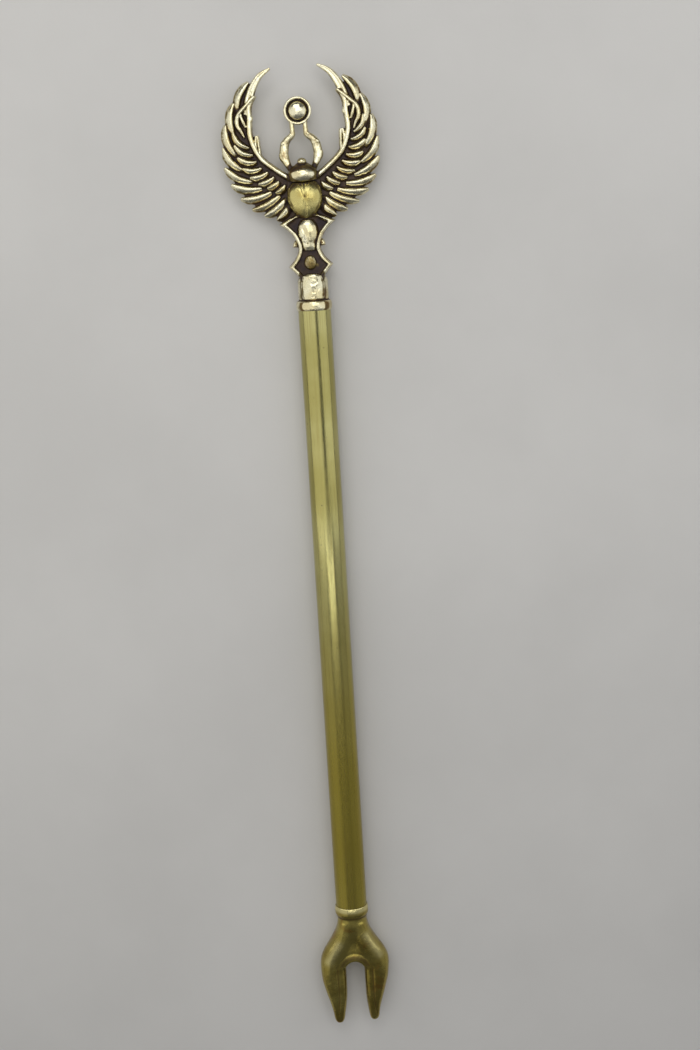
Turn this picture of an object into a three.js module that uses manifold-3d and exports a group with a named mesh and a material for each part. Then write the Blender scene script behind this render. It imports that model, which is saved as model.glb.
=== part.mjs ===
// A brass sceptre: a winged scarab head, a plain tube and a forked foot.
// Millimetres. It lies on its back: X runs across it, Y along the shaft towards the head, and Z up out of
// its front. The origin is the middle of the small flat under the collar of the foot.
import * as THREE from 'three';
import { mergeVertices } from 'three/addons/utils/BufferGeometryUtils.js';
import Module from 'manifold-3d';

const wasm = await Module();
wasm.setup();

// Driving dimensions: the shaft and its collars
const tubeDiameter = 16;
const tubeWall = 1.2;
const visibleTube = 307.6;
const collarStep = 0.7;
const seatDepth = 1;
const seatGap = 0.15;
const restFlatDepth = 0.25;
const collarEdge = 0.4;
const headNeckStep = 0.7;
const footNeckStep = 0.4;
const plateHalfWidth = 5.44;
const plateStep = 0.9;
const roundSides = 40;

// Driving dimensions: the cast ends
const headHeight = 114.9;
const headLeanDegrees = 1.7;
const headCollarHeight = 4.7;
const footHeight = 67;
const footCollarHeight = 6;
const forkWidth = 35.8;
const slotWidth = 9.6;

// Sizes that follow from them
const tubeRadius = tubeDiameter / 2;
const collarRadius = tubeRadius + collarStep;
const axisHeight = collarRadius - restFlatDepth;
const seatRadius = tubeRadius + seatGap;
const headNeckRadius = tubeRadius - headNeckStep;
const footNeckRadius = tubeRadius - footNeckStep;
const footTop = footCollarHeight / 2;
const headBase = footTop + visibleTube;

// The head's carving is drawn for a head of this height, and grows or shrinks with the head
const drawnHeadHeight = 114.9;
const headUnit = headHeight / drawnHeadHeight;
const drawnNeckTop = 16.8;
const drawnLeanPivot = 14;
const carvingDrop = 0.6;

// The fork is drawn for these sizes in the same way, and its slot keeps its own width
const drawnForkLength = 61;
const drawnForkHalfWidth = 17.9;
const forkUnit = (footHeight - footCollarHeight) / drawnForkLength;

const brass = { head: 0xcdb878, tube: 0x9c8a3c, foot: 0x7d6c2c };

function solidOf(geometry) {
  const bare = geometry.index ? geometry.clone() : geometry;
  bare.deleteAttribute('normal');
  bare.deleteAttribute('uv');
  const welded = mergeVertices(bare, 1e-4);
  return new wasm.Manifold(new wasm.Mesh({
    numProp: 3,
    vertProperties: new Float32Array(welded.attributes.position.array),
    triVerts: new Uint32Array(welded.index.array),
  }));
}

function geometryOf(solid) {
  const mesh = solid.getMesh();
  const geometry = new THREE.BufferGeometry();
  geometry.setAttribute('position', new THREE.BufferAttribute(new Float32Array(mesh.vertProperties), 3));
  geometry.setIndex(new THREE.BufferAttribute(new Uint32Array(mesh.triVerts), 1));
  geometry.computeVertexNormals();
  return geometry;
}

function joined(geometries) {
  return geometries.map(solidOf).reduce((whole, piece) => whole.add(piece));
}

// A closed skin over a row of rings that all have the same number of points
function loft(rings) {
  const count = rings[0].length;
  const positions = rings.flat(2);
  const triangles = [];
  for (let ring = 0; ring + 1 < rings.length; ring++) {
    for (let point = 0; point < count; point++) {
      const a = ring * count + point;
      const b = ring * count + (point + 1) % count;
      triangles.push(a, b, b + count, a, b + count, a + count);
    }
  }
  const last = (rings.length - 1) * count;
  for (let point = 1; point + 1 < count; point++) {
    triangles.push(0, point + 1, point);
    triangles.push(last, last + point, last + point + 1);
  }
  const geometry = new THREE.BufferGeometry();
  geometry.setAttribute('position', new THREE.BufferAttribute(new Float32Array(positions), 3));
  geometry.setIndex(triangles);
  return geometry;
}

function lathe(profile, sides = roundSides) {
  const points = profile.map(([radius, height]) => new THREE.Vector2(radius, height));
  return new THREE.LatheGeometry(points, sides).rotateY(Math.PI / sides);
}

function flatCurve(points) {
  return new THREE.CatmullRomCurve3(points.map(([x, y]) => new THREE.Vector3(x, y, 0)), false, 'centripetal');
}

// Values read off between evenly spaced marks
function along(marks, share) {
  const place = THREE.MathUtils.clamp(share, 0, 1) * (marks.length - 1);
  const below = Math.min(Math.floor(place), marks.length - 2);
  return THREE.MathUtils.lerp(marks[below], marks[below + 1], place - below);
}

// A tapering bar that follows a curve in the plane. Its section has a crest that leans to one side, and a
// shallower keel at the back.
function blade(curve, { steps, width, crest, keel, edge, lean = 0 }) {
  const rings = [];
  for (let step = 0; step <= steps; step++) {
    const share = step / steps;
    const centre = curve.getPointAt(share);
    const heading = curve.getTangentAt(share);
    const half = along(width, share) / 2;
    const top = along(crest, share);
    const bottom = along(keel, share);
    const rim = along(edge, share);
    const section = [[-half, -rim], [0, bottom], [half, -rim], [half, rim], [lean * half, top], [-half, rim]];
    rings.push(section.map(([side, z]) => [centre.x + side * heading.y, centre.y - side * heading.x, z]));
  }
  return loft(rings.map((ring) => ring.reverse()));
}

// A bar with a rounded section along a curve in the plane
function bar(curve, { steps, sides, width, thickness, lift = [0, 0] }) {
  const rings = [];
  for (let step = 0; step <= steps; step++) {
    const share = step / steps;
    const centre = curve.getPointAt(share);
    const heading = curve.getTangentAt(share);
    const half = along(width, share) / 2;
    const deep = along(thickness, share) / 2;
    const ring = [];
    for (let side = 0; side < sides; side++) {
      const turn = 2 * Math.PI * (side + 0.5) / sides;
      const out = half * Math.cos(turn);
      const z = along(lift, share) + deep * Math.sin(turn);
      ring.push([centre.x + out * heading.y, centre.y - out * heading.x, z]);
    }
    rings.push(ring.reverse());
  }
  return loft(rings);
}

// A mound that rises from a floor: slices across X, each an arch, between two places along Y
function mound({ from, to, slices, spans, halfWidth, top, floor, roundness = 1, relief = () => 0 }) {
  const rings = [];
  for (let slice = 0; slice <= slices; slice++) {
    const share = (1 - Math.cos(Math.PI * slice / slices)) / 2;
    const y = THREE.MathUtils.lerp(from, to, share);
    const half = along(halfWidth, share);
    const rise = along(top, share) - floor;
    const ring = [];
    for (let span = 0; span <= spans; span++) {
      const turn = Math.PI * span / spans;
      const side = Math.cos(turn);
      const lifted = floor + rise * Math.sin(turn) ** roundness;
      ring.push([half * side, y, Math.max(floor, lifted - relief(side, share))]);
    }
    ring[0][2] = floor;
    ring[spans][2] = floor;
    rings.push(ring.reverse());
  }
  return loft(rings);
}

function mirrored(points) {
  return [...points, ...points.slice().reverse().filter(([x]) => x !== 0).map(([x, y]) => [-x, y])];
}

function shapeOf(points) {
  return new THREE.Shape(points.map(([x, y]) => new THREE.Vector2(x, y)));
}

// Moves an outline inwards by one distance all round
function inset(points, distance) {
  return points.map((point, index) => {
    const before = points[(index + points.length - 1) % points.length];
    const after = points[(index + 1) % points.length];
    const [ux, uy] = unit(point, before);
    const [vx, vy] = unit(after, point);
    const reach = distance / (1 + ux * vx + uy * vy);
    return [point[0] - reach * (uy + vy), point[1] + reach * (ux + vx)];
  });
}

function unit([x, y], [fromX, fromY]) {
  const length = Math.hypot(x - fromX, y - fromY);
  return [(x - fromX) / length, (y - fromY) / length];
}

// The seat for the tube's end, open towards the tube. It lies along +Y from the collar's lower face.
function tubeSeat() {
  const start = -1;
  const end = seatDepth + seatGap;
  return lathe([[0, start], [seatRadius, start], [seatRadius, end], [0, end]]);
}

// The box that is cut away under a collar to leave its rest flat
function underFloor(length) {
  const depth = 10;
  const box = new THREE.BoxGeometry(4 * collarRadius, length, depth);
  return box.translate(0, 0, -axisHeight - depth / 2);
}

// The two wings. Each feather runs from a root curve to a tip curve, and the feathers close up towards
// the scarab by one ratio.
const wing = {
  leadingEdge: [[6, 63.6], [12.6, 68.4], [19.6, 75], [23.6, 84.5], [23, 93], [22.6, 99], [19.4, 103.9]],
  horn: [[24.2, 95], [22.4, 101.5], [20.2, 107], [16.4, 112.2], [11.1, 115.4]],
  shoulder: [[29.7, 90.5], [28.4, 95.4], [24.4, 99.6], [19.2, 104]],
  tips: [[21.1, 110.1], [29.9, 100.8], [34.8, 90.9], [37.3, 78], [35.2, 64.4], [25.5, 50.3], [14.9, 44.2]],
  roots: [[28.4, 94], [31.4, 83], [28.6, 70], [21.4, 60], [14.2, 56], [7.6, 51.6]],
  covertHeads: [[25.3, 91], [25.8, 84], [23.4, 75.5], [19.2, 69.7], [14.2, 65], [8.2, 61]],
  covertTips: [[28, 95], [31.2, 87], [30.8, 78], [28.6, 70.3], [21.8, 62.3], [13.3, 57.8]],
};
const primaryCount = 10;
const primaryTipRatio = 0.922;
const primaryRootRatio = 0.87;
const covertCount = 10;
const covertHeadRatio = 0.949;
const covertTipRatio = 1.012;

function spaced(index, count, ratio) {
  return (1 - ratio ** index) / (1 - ratio ** (count - 1));
}

// A feather between two points, bowed to one side by a share of its length
function featherCurve(root, tip, bow) {
  const across = new THREE.Vector3().subVectors(tip, root);
  const middle = root.clone().lerp(tip, 0.5);
  middle.x += bow * across.y;
  middle.y -= bow * across.x;
  return new THREE.QuadraticBezierCurve3(root, middle, tip);
}

function wingFeathers() {
  const tips = flatCurve(wing.tips);
  const roots = flatCurve(wing.roots);
  const heads = flatCurve(wing.covertHeads);
  const ends = flatCurve(wing.covertTips);
  const feathers = [];
  for (let index = 0; index < primaryCount; index++) {
    const place = index / (primaryCount - 1);
    const root = roots.getPointAt(spaced(index, primaryCount, primaryRootRatio));
    const tip = tips.getPointAt(spaced(index, primaryCount, primaryTipRatio));
    feathers.push(blade(featherCurve(root, tip, THREE.MathUtils.lerp(0.25, 0.1, place)), {
      steps: 5,
      width: [1, 3, 3.6, 3.5, 2.7, 0.7],
      crest: [0.9, 1.8, 1.9, 1.9, 1.5, 0.9],
      keel: [-1.5, -1.8, -1.8, -1.8, -1.6, -1],
      edge: [0.5, 0.5, 0.5, 0.5, 0.5, 0.4],
      lean: -0.35,
    }));
  }
  for (let index = 0; index < covertCount; index++) {
    const place = index / (covertCount - 1);
    const head = heads.getPointAt(spaced(index, covertCount, covertHeadRatio));
    const end = ends.getPointAt(spaced(index, covertCount, covertTipRatio));
    feathers.push(blade(featherCurve(head, end, THREE.MathUtils.lerp(0.3, 0.36, place)), {
      steps: 3,
      width: [1.2, 2.5, 2.5, 0.8],
      crest: [2.1, 2.6, 2.5, 1.5],
      keel: [-0.6, -0.8, -0.8, -0.6],
      edge: [0.4, 0.7, 0.7, 0.4],
      lean: -0.3,
    }));
  }
  return feathers;
}

// The sheet of metal that the feathers stand out of
function wingSheet() {
  const shareAtTop = 0.7;
  const shareAtScarab = 0.8;
  const besideHorn = [20.2, 107.6];
  const samples = 12;
  const edge = flatCurve(wing.leadingEdge).getSpacedPoints(samples).map(({ x, y }) => [x, y]);
  const roots = flatCurve(wing.roots);
  const tips = flatCurve(wing.tips);
  const outer = [];
  for (let sample = samples; sample >= 0; sample--) {
    const place = sample / samples;
    const root = roots.getPointAt(1 - place);
    const share = THREE.MathUtils.lerp(shareAtScarab, shareAtTop, place);
    const point = root.lerp(tips.getPointAt(1 - place), share);
    outer.push([point.x, point.y]);
  }
  const back = -1.9;
  const front = 0.3;
  const outline = shapeOf([[2, 62], ...edge, besideHorn, ...outer, [11.6, 43.2], [2, 44]]);
  const sheet = new THREE.ExtrudeGeometry(outline, { depth: front - back, bevelEnabled: false });
  return sheet.translate(0, 0, back);
}

function rightWing() {
  const leadingEdge = blade(flatCurve(wing.leadingEdge), {
    steps: 12,
    width: [2.6, 2.2, 2, 2, 2, 2, 1.8, 1.6, 1.2],
    crest: [3.2, 3.1, 3, 3, 3, 2.9, 2.8, 2.6, 2],
    keel: [-2.2, -2.2, -2.2, -2.2, -2.2, -2.2, -2, -1.8, -1.2],
    edge: [1.3, 1.2, 1.2, 1.2, 1.2, 1.2, 1, 0.9, 0.6],
  });
  const horn = blade(flatCurve(wing.horn), {
    steps: 7,
    width: [3.6, 3.8, 3.6, 3.2, 2.6, 1.9, 0.8],
    crest: [1.6, 1.9, 2, 2, 1.8, 1.5, 0.9],
    keel: [-1.5, -1.7, -1.8, -1.8, -1.6, -1.3, -0.8],
    edge: [0.6, 0.6, 0.6, 0.6, 0.5, 0.5, 0.4],
    lean: 0.3,
  });
  const shoulder = blade(flatCurve(wing.shoulder), {
    steps: 5,
    width: [1.2, 1.9, 2, 1.8, 1.2],
    crest: [2.2, 2.8, 2.9, 2.8, 2],
    keel: [-1, -1.2, -1.2, -1.2, -1],
    edge: [0.6, 0.8, 0.8, 0.8, 0.6],
  });
  const thumb = blade(flatCurve([[19.6, 74.6], [20.5, 79], [20.4, 84.8]]), {
    steps: 4,
    width: [2, 2.6, 2.6, 2.3, 1.2],
    crest: [2.4, 2.4, 2.4, 2.3, 2],
    keel: [-1.8, -1.8, -1.8, -1.7, -1.4],
    edge: [1.2, 1.2, 1.2, 1.1, 0.8],
  });
  return joined([wingSheet(), leadingEdge, horn, shoulder, thumb, ...wingFeathers()]);
}

// The scarab: a body, two wing cases with a groove between them, a shield and a small head
function scarab() {
  const body = mound({
    from: 44.4, to: 69.4, slices: 8, spans: 12, floor: -2.6,
    halfWidth: [3, 6, 7.4, 8.2, 8.6, 8.6, 8.4, 7.6, 6, 3], top: [1.5, 2.4, 2.6, 2.6, 2.4, 1.5],
  });
  const belly = mound({
    from: 44.4, to: 70.5, slices: 6, spans: 8, floor: -1.2,
    halfWidth: [2.6, 5.6, 7.4, 8, 8, 7.6, 5.6, 3], top: [2, 3.2, 3.6, 3.4, 2],
  }).rotateY(Math.PI);
  const cases = mound({
    from: 44.9, to: 62, slices: 9, spans: 14, floor: 1,
    halfWidth: [3, 5.6, 7, 7.9, 8.3, 8.4, 8.2, 7.6, 6.4], top: [5, 5.6, 6.3, 6.8, 7.1, 7.1, 6.9, 6, 4.4],
    roundness: 0.8,
    relief: (side) => 0.8 * Math.exp(-((side / 0.09) ** 2)),
  });
  const shield = mound({
    from: 62.6, to: 69.9, slices: 7, spans: 12, floor: 1,
    halfWidth: [3.4, 6.2, 6.7, 6.4, 5.4, 3], top: [5.4, 6.4, 6.6, 6.2, 5, 3],
    roundness: 0.8,
  });
  const head = mound({
    from: 69.4, to: 72.8, slices: 5, spans: 8, floor: -1,
    halfWidth: [1.8, 2.1, 2.1, 1.7, 0.9], top: [2.4, 3.4, 3.4, 2.6, 1.2],
  });
  return joined([body, belly, cases, shield, head]);
}

// One of the two raised legs that hold the disc
function rightLeg() {
  const path = [
    [3.2, 90], [3.2, 86], [3.5, 83.9], [6, 81.8], [7.4, 79.5], [7.9, 77], [8.2, 74.3], [7.2, 71.5], [4.6, 66],
  ];
  return bar(flatCurve(path), {
    steps: 15, sides: 8, thickness: [3.2, 3.2, 3.4, 3.6, 3.6],
    width: [2, 2, 2.1, 2.6, 2.7, 3.2, 3.7, 3.8, 4.1, 3.3, 2.7, 2.6, 2.6],
    lift: [0.2, 0.4, 0.6, 0.8, 0.8],
  });
}

function sunDisc() {
  const outer = 6.6;
  const band = 1.1;
  const rimTop = 2;
  const fieldTop = 0.5;
  const ballRadius = 4.35;
  const ballTop = 3.4;
  const profile = [
    [0, -1.9], [outer - 1.2, -1.7], [outer, -0.9], [outer, 1.3], [outer - 0.35, rimTop],
    [outer - band, rimTop], [outer - band - 0.3, fieldTop], [ballRadius, fieldTop],
  ];
  for (const turn of [32, 64]) {
    const angle = THREE.MathUtils.degToRad(turn);
    profile.push([ballRadius * Math.cos(angle), fieldTop + (ballTop - fieldTop) * Math.sin(angle)]);
  }
  profile.push([0, ballTop]);
  return lathe(profile, 24).rotateX(Math.PI / 2).translate(0.1, 95, 0);
}

// The waisted frame between the neck and the scarab, with its sunk field, the bell and the small oval
function frame() {
  const half = [
    [0, 14], [5.4, 14], [5.4, 17.2], [7.7, 19.9], [9.7, 22.1], [7.4, 24.5], [5.6, 27.4],
    [4.6, 30.4], [5.3, 34], [7.1, 37.6], [9.5, 40.3], [12.3, 42.5], [5.4, 45.6], [0, 46.4],
  ];
  const outline = mirrored(half);
  const bevel = 0.7;
  const back = -3.2;
  const rimTop = 4.6;
  const fieldTop = 2.5;
  const rimWidth = 1.2;
  const plate = new THREE.ExtrudeGeometry(shapeOf(outline), {
    depth: rimTop - back - 2 * bevel,
    bevelEnabled: true, bevelThickness: bevel, bevelSize: bevel, bevelSegments: 1,
  }).translate(0, 0, back + bevel);
  const field = new THREE.ExtrudeGeometry(shapeOf(inset(outline, rimWidth)), {
    depth: 10, bevelEnabled: false,
  }).translate(0, 0, fieldTop);
  const bell = mound({
    from: 29.4, to: 43.9, slices: 8, spans: 10, floor: 1,
    halfWidth: [3.2, 3.5, 3.8, 4.4, 4.9, 5, 4.9, 4.3, 3.2],
    top: [4.4, 5, 5.3, 5.7, 6, 6.1, 5.8, 5.3, 4.6],
    roundness: 0.6,
  });
  const oval = new THREE.SphereGeometry(1, 12, 8).scale(2.9, 3.4, 1.2).translate(-0.2, 23.6, fieldTop);
  const spurDepth = 2.6;
  const spur = new THREE.ExtrudeGeometry(shapeOf([[3.5, 31], [8.1, 31.3], [7.3, 34.2], [3.5, 36]]), {
    depth: spurDepth, bevelEnabled: false,
  }).translate(0, 0, -spurDepth / 2);
  const otherSpur = solidOf(spur).mirror([1, 0, 0]);
  return solidOf(plate).subtract(solidOf(field)).add(joined([bell, oval, spur])).add(otherSpur);
}

// The neck under the frame: a collar and a round stem, which keep to the tube's size
function neck() {
  const top = drawnNeckTop * headUnit;
  return lathe([
    [0, 0], [collarRadius - collarEdge, 0], [collarRadius, 1], [collarRadius, headCollarHeight - 1],
    [collarRadius - collarEdge, headCollarHeight - 0.2], [headNeckRadius, headCollarHeight + 0.5],
    [headNeckRadius, top - 2.6], [headNeckRadius - 0.8, top - 1], [headNeckRadius - 2.8, top], [0, top],
  ]);
}

// The smooth raised plate on the front of the neck, cut from a slightly larger round than the stem
function neckPlate() {
  const front = headNeckRadius + plateStep;
  const low = headCollarHeight + 0.6;
  const top = (drawnNeckTop + 0.3) * headUnit;
  const wide = plateHalfWidth;
  const outline = mirrored([
    [0, low], [wide - 1.2, low], [wide - 0.2, low + 1], [wide, low + 3], [wide + 0.3, (low + top) / 2],
    [wide + 0.2, top - 3.2], [wide - 0.6, top - 0.9], [wide - 2, top - 0.3], [wide - 3, top], [0, top + 0.7],
  ]);
  const slab = new THREE.ExtrudeGeometry(shapeOf(outline), { depth: 2 * tubeRadius, bevelEnabled: false });
  const round = lathe([[0, 0], [front, 0], [front, top + 4], [0, top + 4]]);
  return solidOf(slab).intersect(solidOf(round));
}

function wingedScarabHead() {
  const wingSolid = rightWing();
  const leg = solidOf(rightLeg());
  const carving = wingSolid
    .add(wingSolid.mirror([1, 0, 0]))
    .add(leg)
    .add(leg.mirror([1, 0, 0]))
    .add(solidOf(sunDisc()))
    .add(frame())
    .add(scarab());
  const leaning = carving
    .translate([0, -drawnLeanPivot, 0])
    .rotate([0, 0, headLeanDegrees])
    .translate([0, drawnLeanPivot - carvingDrop, 0])
    .scale([headUnit, headUnit, headUnit]);
  const whole = leaning
    .add(solidOf(neck()))
    .add(neckPlate())
    .subtract(solidOf(tubeSeat()))
    .subtract(solidOf(underFloor(4 * headCollarHeight)));
  return geometryOf(whole);
}

function shaftTube() {
  const start = footTop - seatDepth;
  const end = headBase + seatDepth;
  const bore = tubeRadius - tubeWall;
  return lathe([[bore, start], [tubeRadius, start], [tubeRadius, end], [bore, end], [bore, start]]);
}

// One prong of the fork, from inside the neck to its tip, drawn on the right. Heights are up from the tips.
// The cast prongs differ a little: tipShift moves a tip outwards, swell widens a prong, short lifts its tip.
function prong({ tipShift, swell, short }) {
  const bendHeight = 34;
  const stations = [
    { y: 58, x: 3.2, half: 4.4, deep: 7.2 },
    { y: 54, x: 3.8, half: 4.8, deep: 7.3 },
    { y: 50, x: 5, half: 5.6, deep: 7.4 },
    { y: 46, x: 6.6, half: 6.4, deep: 7.4 },
    { y: 41.5, x: 8.8, half: 7.2, deep: 7.2 },
    { y: 36.5, x: 10.5, half: 7.3, deep: 6.6 },
    { y: 31, x: 11.2, half: 6.7, deep: 6.1 },
    { y: 25, x: 11, half: 6.2, deep: 5.6 },
    { y: 19, x: 10.3, half: 5.5, deep: 5 },
    { y: 13, x: 9.6, half: 4.5, deep: 4.3 },
    { y: 7, x: 9.2, half: 3.4, deep: 3.4 },
    { y: 2.4, x: 9.2, half: 2.6, deep: 2.6 },
    { y: 0.5, x: 9.2, half: 1.8, deep: 1.8 },
    { y: 0, x: 9.2, half: 0.9, deep: 0.9 },
  ];
  const sides = 14;
  const rings = stations.map(({ y, x, half, deep }) => {
    const below = Math.max(0, 1 - y / bendHeight);
    const middle = x + tipShift * below;
    const wide = half * THREE.MathUtils.lerp(1, swell, Math.min(1, 3 * below * (1 - below)));
    const ring = [];
    for (let side = 0; side < sides; side++) {
      const turn = 2 * Math.PI * side / sides;
      ring.push([middle + wide * Math.cos(turn), y + short * below, deep * Math.sin(turn)]);
    }
    return ring;
  });
  return loft(rings);
}

// The slot between the prongs: a round arch that opens a little towards the tips, with rounded lips
function forkSlot(widthUnit) {
  const half = slotWidth / 2 / widthUnit;
  const archTop = 36.2;
  const archCentre = archTop - half;
  const outline = [[0, archTop]];
  for (const turn of [22, 45, 68, 90]) {
    const angle = THREE.MathUtils.degToRad(turn);
    outline.push([half * Math.sin(angle), archCentre + half * Math.cos(angle)]);
  }
  outline.push([half, 14], [half + 2.4, -6], [0, -6]);
  const lip = 2.6;
  const frontReach = 7.2;
  const straight = 2 * (frontReach - lip);
  return new THREE.ExtrudeGeometry(shapeOf(mirrored(outline).reverse()), {
    depth: straight,
    bevelEnabled: true, bevelThickness: lip, bevelSize: -lip, bevelOffset: lip, bevelSegments: 3,
  }).translate(0, 0, -straight / 2);
}

function forkedFoot() {
  const widthUnit = forkWidth / 2 / drawnForkHalfWidth;
  const rightProng = solidOf(prong({ tipShift: -0.5, swell: 0.97, short: 1 }));
  const leftProng = solidOf(prong({ tipShift: 0.5, swell: 1.08, short: 0 })).mirror([1, 0, 0]);
  const web = solidOf(mound({
    from: 33, to: 61, slices: 9, spans: 8, floor: -1,
    halfWidth: [7, 8.4, 8, 7, 5.6], top: [5.8, 6.1, 5.6, 5.4, 5.7, 6.4, 7, 7], roundness: 0.45,
  }));
  const fork = rightProng
    .add(leftProng)
    .add(web)
    .add(web.mirror([0, 0, 1]))
    .subtract(solidOf(forkSlot(widthUnit)))
    .scale([widthUnit, forkUnit, 1]);
  const collarFoot = footHeight - footCollarHeight;
  const round = lathe([
    [0, collarFoot - 13 * forkUnit], [footNeckRadius - 2, collarFoot - 13 * forkUnit],
    [footNeckRadius - 1, collarFoot - 9 * forkUnit], [footNeckRadius, collarFoot - 5 * forkUnit],
    [footNeckRadius, collarFoot - 0.8],
    [collarRadius, collarFoot + 0.9], [collarRadius, footHeight - 1],
    [collarRadius - collarEdge, footHeight], [0, footHeight],
  ]);
  const seat = tubeSeat().rotateX(Math.PI).translate(0, footHeight, 0);
  const whole = fork
    .add(solidOf(round))
    .subtract(solidOf(seat))
    .subtract(solidOf(underFloor(4 * footHeight)));
  return geometryOf(whole);
}

function part(name, geometry, color, roughness, y) {
  const material = new THREE.MeshStandardMaterial({ color, roughness, metalness: 1 });
  const mesh = new THREE.Mesh(geometry, material);
  mesh.name = name;
  mesh.position.set(0, y, axisHeight);
  return mesh;
}

const sceptre = new THREE.Group();
sceptre.add(part('winged_scarab_head', wingedScarabHead(), brass.head, 0.25, headBase));
sceptre.add(part('shaft_tube', shaftTube(), brass.tube, 0.3, 0));
sceptre.add(part('forked_foot', forkedFoot(), brass.foot, 0.35, footTop - footHeight));

export default sceptre;
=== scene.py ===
"""A brass sceptre that lies on its back: a winged scarab head, a plain tube and a forked foot.

Lengths are millimetres in the modelling functions and metres in the scene. X runs across the sceptre, Y along
the shaft towards the head, and Z up out of its front.
"""
import math

import bpy
import numpy as np
from mathutils import Matrix, Vector, noise


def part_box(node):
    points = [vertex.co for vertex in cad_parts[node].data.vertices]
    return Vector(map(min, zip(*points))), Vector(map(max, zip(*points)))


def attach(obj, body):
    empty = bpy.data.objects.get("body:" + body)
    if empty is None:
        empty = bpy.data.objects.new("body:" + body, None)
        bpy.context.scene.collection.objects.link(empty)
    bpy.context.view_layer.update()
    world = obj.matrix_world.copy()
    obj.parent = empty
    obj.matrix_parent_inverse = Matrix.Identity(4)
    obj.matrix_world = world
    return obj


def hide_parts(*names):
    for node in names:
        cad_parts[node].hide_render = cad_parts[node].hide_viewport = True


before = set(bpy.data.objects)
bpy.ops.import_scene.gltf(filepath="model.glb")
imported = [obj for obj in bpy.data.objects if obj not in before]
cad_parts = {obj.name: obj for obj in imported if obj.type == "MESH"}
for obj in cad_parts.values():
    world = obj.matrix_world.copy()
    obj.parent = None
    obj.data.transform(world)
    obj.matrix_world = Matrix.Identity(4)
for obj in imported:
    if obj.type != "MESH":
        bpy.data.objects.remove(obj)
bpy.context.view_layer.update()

MM = 0.001

# Shaft and collars
TUBE_RADIUS = 8.0
TUBE_WALL = 1.2
VISIBLE_TUBE = 307.6
COLLAR_STEP = 0.7
SEAT_DEPTH = 1.0
SEAT_GAP = 0.15
REST_FLAT_DEPTH = 0.25
COLLAR_RADIUS = TUBE_RADIUS + COLLAR_STEP
AXIS_HEIGHT = COLLAR_RADIUS - REST_FLAT_DEPTH
SEAT_RADIUS = TUBE_RADIUS + SEAT_GAP
ROUND_SHRINK = math.cos(math.radians(4.5))

# Cast ends
HEAD_COLLAR = 4.7
HEAD_LEAN = 1.7
HEAD_LEAN_PIVOT = 14.0
CARVING_DROP = 0.6
NECK_TOP = 16.8
FOOT_HEIGHT = 67.0
FOOT_COLLAR = 6.0
FOOT_TOP = FOOT_COLLAR / 2
HEAD_BASE = FOOT_TOP + VISIBLE_TUBE
FOOT_BASE = FOOT_TOP - FOOT_HEIGHT
SLOT_HALF = 4.8

# Fineness of the skins
HEAD_VOXEL = 0.235
FOOT_VOXEL = 0.4

SEED = 11


# Curves and skins


def marks(values, share):
    """Smooth values between evenly spaced marks."""
    v = np.asarray(values, float)
    padded = np.concatenate([[2 * v[0] - v[1]], v, [2 * v[-1] - v[-2]]])
    place = np.clip(share, 0, 1) * (len(v) - 1)
    i = np.minimum(place.astype(int), len(v) - 2)
    t = place - i
    a, b, c, d = padded[i], padded[i + 1], padded[i + 2], padded[i + 3]
    return b + 0.5 * t * (c - a + t * (2 * a - 5 * b + 4 * c - d + t * (3 * (b - c) + d - a)))


def resampled(points, steps):
    """The same line with evenly spaced points."""
    p = np.asarray(points, float)
    reach = np.concatenate([[0], np.cumsum(np.linalg.norm(np.diff(p, axis=0), axis=1))])
    even = np.linspace(0, reach[-1], steps + 1)
    return np.stack([np.interp(even, reach, p[:, axis]) for axis in range(p.shape[1])], 1)


def curve(points, steps):
    """Evenly spaced points on a centripetal curve through the given points."""
    p = np.asarray(points, float)
    p = np.vstack([2 * p[0] - p[1], p, 2 * p[-1] - p[-2]])
    knots = np.concatenate([[0], np.cumsum(np.linalg.norm(np.diff(p, axis=0), axis=1) ** 0.5)])
    dense = []

    def blend(first, second, low, high, t):
        return ((high - t) * first + (t - low) * second) / (high - low)

    for i in range(1, len(p) - 2):
        t = np.linspace(knots[i], knots[i + 1], 40, endpoint=False)[:, None]
        a = [blend(p[i + k - 1], p[i + k], knots[i + k - 1], knots[i + k], t) for k in range(3)]
        b = [blend(a[k], a[k + 1], knots[i + k - 1], knots[i + k + 1], t) for k in range(2)]
        dense.append(blend(b[0], b[1], knots[i], knots[i + 1], t))
    dense.append(p[-2][None])
    return resampled(np.vstack(dense), steps)


def step_between(low, high, values):
    """A smooth step from 0 to 1."""
    t = np.clip((values - low) / (high - low), 0, 1)
    return t * t * (3 - 2 * t)


def point_at(line, share):
    """The point at a share of the length of an evenly spaced line."""
    place = share * (len(line) - 1)
    return np.array([np.interp(place, np.arange(len(line)), line[:, axis]) for axis in range(line.shape[1])])


def sideways(line):
    """The unit direction to the right of each point's heading."""
    heading = np.gradient(line, axis=0)
    heading /= np.linalg.norm(heading, axis=1)[:, None]
    return np.stack([heading[:, 1], -heading[:, 0]], 1)


def skin(rings):
    """Points and faces of a closed skin over rings that have the same number of points."""
    rings = np.asarray(rings, float)
    count, size = rings.shape[:2]
    faces = []
    for ring in range(count - 1):
        for point in range(size):
            a = ring * size + point
            b = ring * size + (point + 1) % size
            faces.append((a, b, b + size, a + size))
    faces.append(tuple(range(size - 1, -1, -1)))
    faces.append(tuple(range((count - 1) * size, count * size)))
    return rings.reshape(-1, 3), faces


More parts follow.
